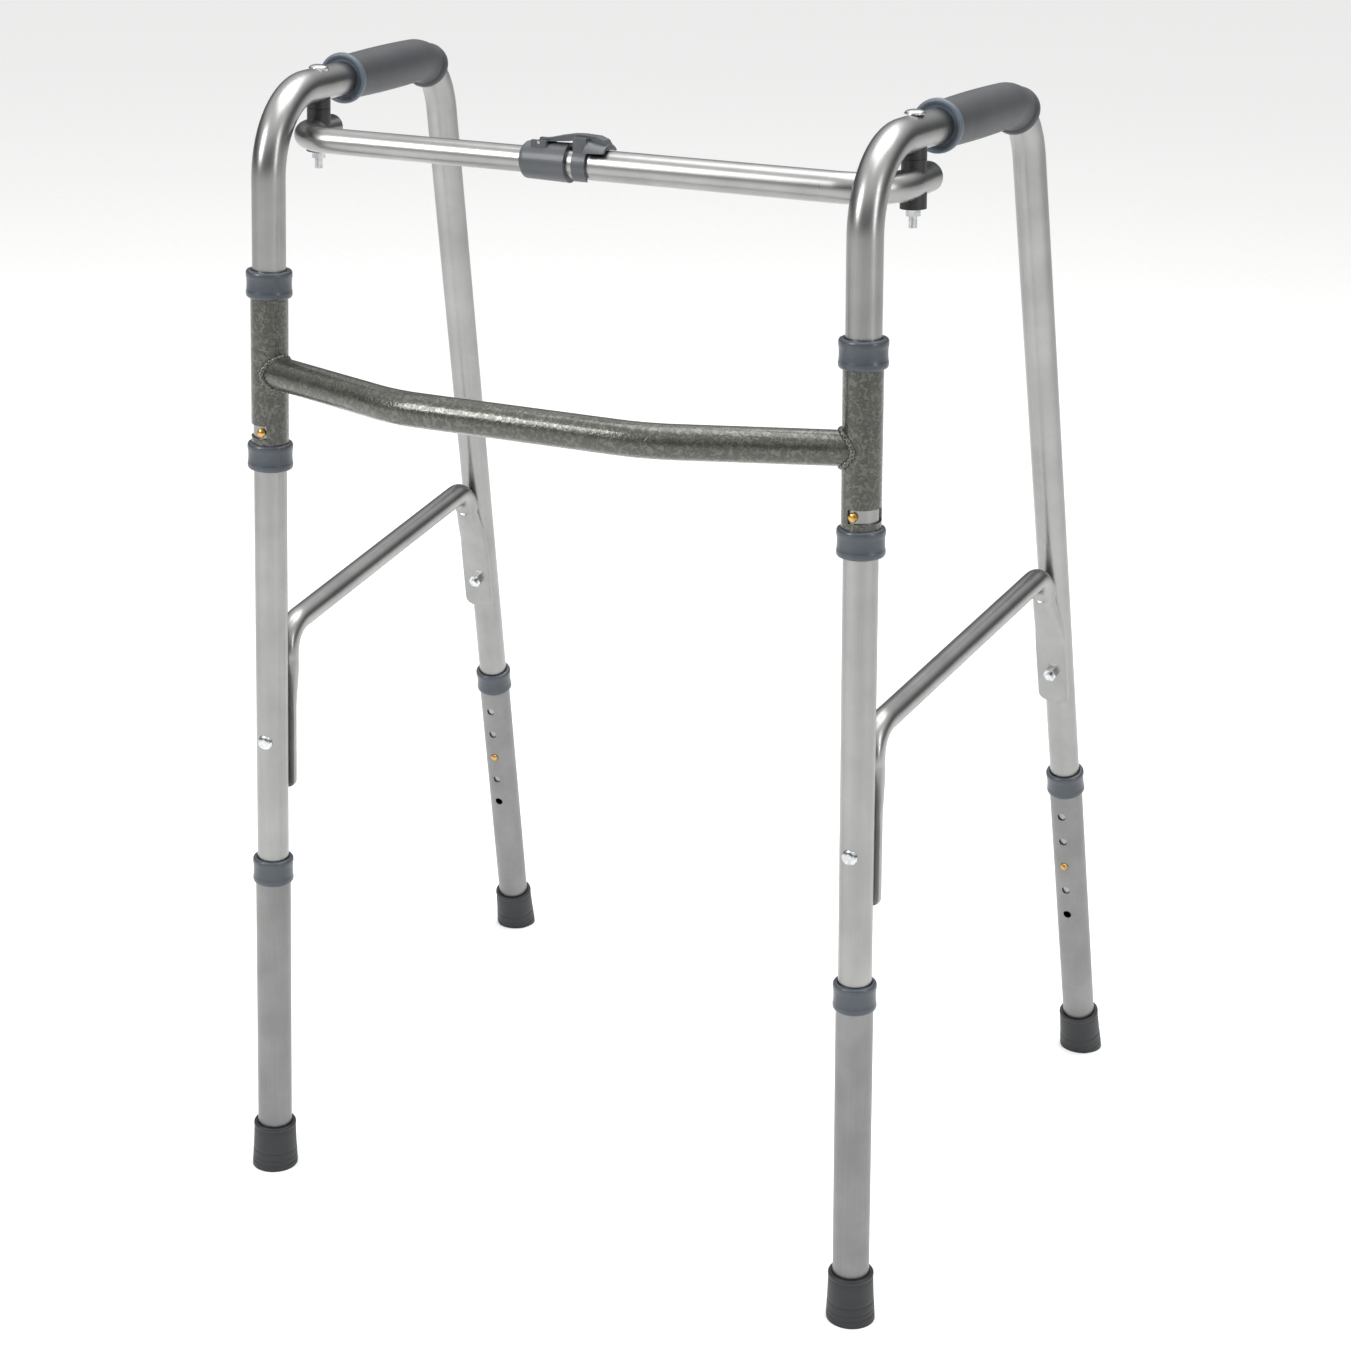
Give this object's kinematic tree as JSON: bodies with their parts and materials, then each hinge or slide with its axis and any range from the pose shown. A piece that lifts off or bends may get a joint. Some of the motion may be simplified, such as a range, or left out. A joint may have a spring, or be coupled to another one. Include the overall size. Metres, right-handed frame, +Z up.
{
  "type": "walking frame",
  "caption": "Folding walking frame: two bent-tube side frames with grips, painted front brace, telescoping clip bar, adjustable leg extensions and rubber ferrules.",
  "frame": {"origin": "on the floor under the centre of the whole frame", "axes": "+Z up, -Y is the front with the brace, the user stands at +Y, +X is the right-hand side seen from the front"},
  "size_m": [0.6388, 0.6007, 0.9198],
  "materials": {
    "hammer_paint": "dark grey hammered paint, semi-gloss",
    "collar_plastic": "blue-grey moulded plastic, semi-gloss",
    "satin_aluminium": "satin anodised",
    "extension_aluminium": "matt anodised",
    "grip_vinyl": "charcoal soft vinyl, fine grain",
    "ferrule_rubber": "black moulded rubber",
    "button_brass": "bright",
    "spring_steel": "bright spring steel",
    "zinc_steel": "bright zinc plate",
    "clip_plastic": "dark grey moulded plastic, satin",
    "black_plastic": "black moulded plastic"
  },
  "bodies": {
    "front_brace": {"brace_sleeve_left": "hammer_paint", "brace_sleeve_right": "hammer_paint", "brace_crossbar": "hammer_paint", "brace_collar_upper_left": "collar_plastic", "brace_collar_upper_right": "collar_plastic", "brace_collar_lower_left": "collar_plastic", "brace_collar_lower_right": "collar_plastic"},
    "left_frame": {"side_tube_left": "satin_aluminium", "grip_left": "grip_vinyl", "side_brace_left": "satin_aluminium", "brace_bolts_left": "zinc_steel", "brace_nuts_left": "zinc_steel", "fold_spring_left": "spring_steel", "height_spring_front_left": "spring_steel", "height_spring_rear_left": "spring_steel", "saddle_upper_left": "black_plastic", "pivot_bolt_left": "zinc_steel"},
    "right_frame": {"side_tube_right": "satin_aluminium", "grip_right": "grip_vinyl", "side_brace_right": "satin_aluminium", "brace_bolts_right": "zinc_steel", "brace_nuts_right": "zinc_steel", "fold_spring_right": "spring_steel", "height_spring_front_right": "spring_steel", "height_spring_rear_right": "spring_steel", "saddle_upper_right": "black_plastic"},
    "right_pivot": {"pivot_bolt_right": "zinc_steel", "pivot_nut_right": "zinc_steel"},
    "thick_bar": {"bar_tube_thick": "satin_aluminium", "bar_cap_right": "satin_aluminium", "clip_sleeve": "clip_plastic", "clip_pin": "zinc_steel", "saddle_lower_right": "black_plastic", "bar_washer_right": "black_plastic"},
    "bar_carrier": {"bar_plug": "black_plastic"},
    "thin_bar": {"bar_tube_thin": "satin_aluminium", "bar_cap_left": "satin_aluminium", "saddle_lower_left": "black_plastic", "bar_washer_left": "black_plastic", "pivot_stud_left": "zinc_steel", "pivot_nut_left": "zinc_steel"},
    "clip_catch": {"clip_lever": "clip_plastic"},
    "fold_button_left": {"fold_button_left": "button_brass"},
    "leg_front_left": {"extension_front_left": "extension_aluminium", "extension_collar_front_left": "collar_plastic", "ferrule_front_left": "ferrule_rubber"},
    "height_button_front_left": {"height_button_front_left": "button_brass"},
    "leg_rear_left": {"extension_rear_left": "extension_aluminium", "extension_collar_rear_left": "collar_plastic", "ferrule_rear_left": "ferrule_rubber"},
    "height_button_rear_left": {"height_button_rear_left": "button_brass"},
    "fold_button_right": {"fold_button_right": "button_brass"},
    "leg_front_right": {"extension_front_right": "extension_aluminium", "extension_collar_front_right": "collar_plastic", "ferrule_front_right": "ferrule_rubber"},
    "height_button_front_right": {"height_button_front_right": "button_brass"},
    "leg_rear_right": {"extension_rear_right": "extension_aluminium", "extension_collar_rear_right": "collar_plastic", "ferrule_rear_right": "ferrule_rubber"},
    "height_button_rear_right": {"height_button_rear_right": "button_brass"}
  },
  "joints": [
    {"name": "left_fold", "type": "hinge", "parent": "front_brace", "child": "left_frame", "pos_m": [-0.2629, -0.23431, 0], "axis": [-0.0321, 0, -0.9995], "range_deg": [0, 89]},
    {"name": "right_fold", "type": "hinge", "parent": "front_brace", "child": "right_frame", "pos_m": [0.2629, -0.23431, 0], "axis": [-0.0321, 0, 0.9995], "range_deg": [0, 61]},
    {"name": "right_bolt_turn", "type": "hinge", "parent": "right_frame", "child": "right_pivot", "pos_m": [0.24042, -0.15452, 0.88073], "axis": [-0.032, -0.0041, 0.9995], "range_deg": [-65.74, 0]},
    {"name": "bar_swing", "type": "hinge", "parent": "right_pivot", "child": "thick_bar", "pos_m": [0.24042, -0.15452, 0.88073], "axis": [-0.032, -0.0431, 0.9986], "range_deg": [0, 10.74]},
    {"name": "bar_slide_right", "type": "slide", "parent": "thick_bar", "child": "bar_carrier", "axis": [1, 0, 0], "range_m": [0, 0.0732]},
    {"name": "bar_slide_left", "type": "slide", "parent": "bar_carrier", "child": "thin_bar", "axis": [1, 0, 0], "range_m": [0, 0.0809]},
    {"name": "clip_lift", "type": "hinge", "parent": "thick_bar", "child": "clip_catch", "pos_m": [-0.024, -0.20031, 0.88], "axis": [0, -1, 0], "range_deg": [0, 28], "stiffness_Nm_per_rad": 0.25, "deforming": ["clip_lever"]},
    {"name": "left_fold_button_press", "type": "slide", "parent": "left_frame", "child": "fold_button_left", "axis": [-0.0724, 0.9974, 0.0023], "range_m": [0, 0.005], "stiffness_N_per_m": 900, "deforming": ["fold_spring_left"]},
    {"name": "leg_slide_front_left", "type": "slide", "parent": "left_frame", "child": "leg_front_left", "axis": [-0.0321, 0, -0.9995], "range_m": [-0.054, 0.054], "deforming": ["height_button_front_left", "height_spring_front_left"]},
    {"name": "height_button_press_front_left", "type": "slide", "parent": "left_frame", "child": "height_button_front_left", "axis": [0.0724, -0.9974, -0.0023], "range_m": [0, 0.0055], "stiffness_N_per_m": 900, "deforming": ["height_spring_front_left"]},
    {"name": "leg_slide_rear_left", "type": "slide", "parent": "left_frame", "child": "leg_rear_left", "axis": [-0.0488, 0.2428, -0.9688], "range_m": [-0.054, 0.054], "deforming": ["height_button_rear_left", "height_spring_rear_left"]},
    {"name": "height_button_press_rear_left", "type": "slide", "parent": "left_frame", "child": "height_button_rear_left", "axis": [-0.0624, 0.9674, 0.2456], "range_m": [0, 0.0055], "stiffness_N_per_m": 900, "deforming": ["height_spring_rear_left"]},
    {"name": "right_fold_button_press", "type": "slide", "parent": "right_frame", "child": "fold_button_right", "axis": [0.0724, 0.9974, 0.0023], "range_m": [0, 0.005], "stiffness_N_per_m": 900, "deforming": ["fold_spring_right"]},
    {"name": "leg_slide_front_right", "type": "slide", "parent": "right_frame", "child": "leg_front_right", "axis": [0.0321, 0, -0.9995], "range_m": [-0.054, 0.054], "deforming": ["height_button_front_right", "height_spring_front_right"]},
    {"name": "height_button_press_front_right", "type": "slide", "parent": "right_frame", "child": "height_button_front_right", "axis": [-0.0724, -0.9974, -0.0023], "range_m": [0, 0.0055], "stiffness_N_per_m": 900, "deforming": ["height_spring_front_right"]},
    {"name": "leg_slide_rear_right", "type": "slide", "parent": "right_frame", "child": "leg_rear_right", "axis": [0.0488, 0.2428, -0.9688], "range_m": [-0.054, 0.054], "deforming": ["height_button_rear_right", "height_spring_rear_right"]},
    {"name": "height_button_press_rear_right", "type": "slide", "parent": "right_frame", "child": "height_button_rear_right", "axis": [0.0624, 0.9674, 0.2456], "range_m": [0, 0.0055], "stiffness_N_per_m": 900, "deforming": ["height_spring_rear_right"]}
  ],
  "couplings": [
    {"joint": "right_bolt_turn", "follows": "right_fold", "ratio": -1.0777},
    {"joint": "bar_swing", "follows": "left_fold", "ratio": 0.12065},
    {"joint": "bar_slide_right", "follows": "right_fold", "m_per_rad": 0.068754},
    {"joint": "bar_slide_left", "follows": "left_fold", "m_per_rad": 0.052056}
  ]
}
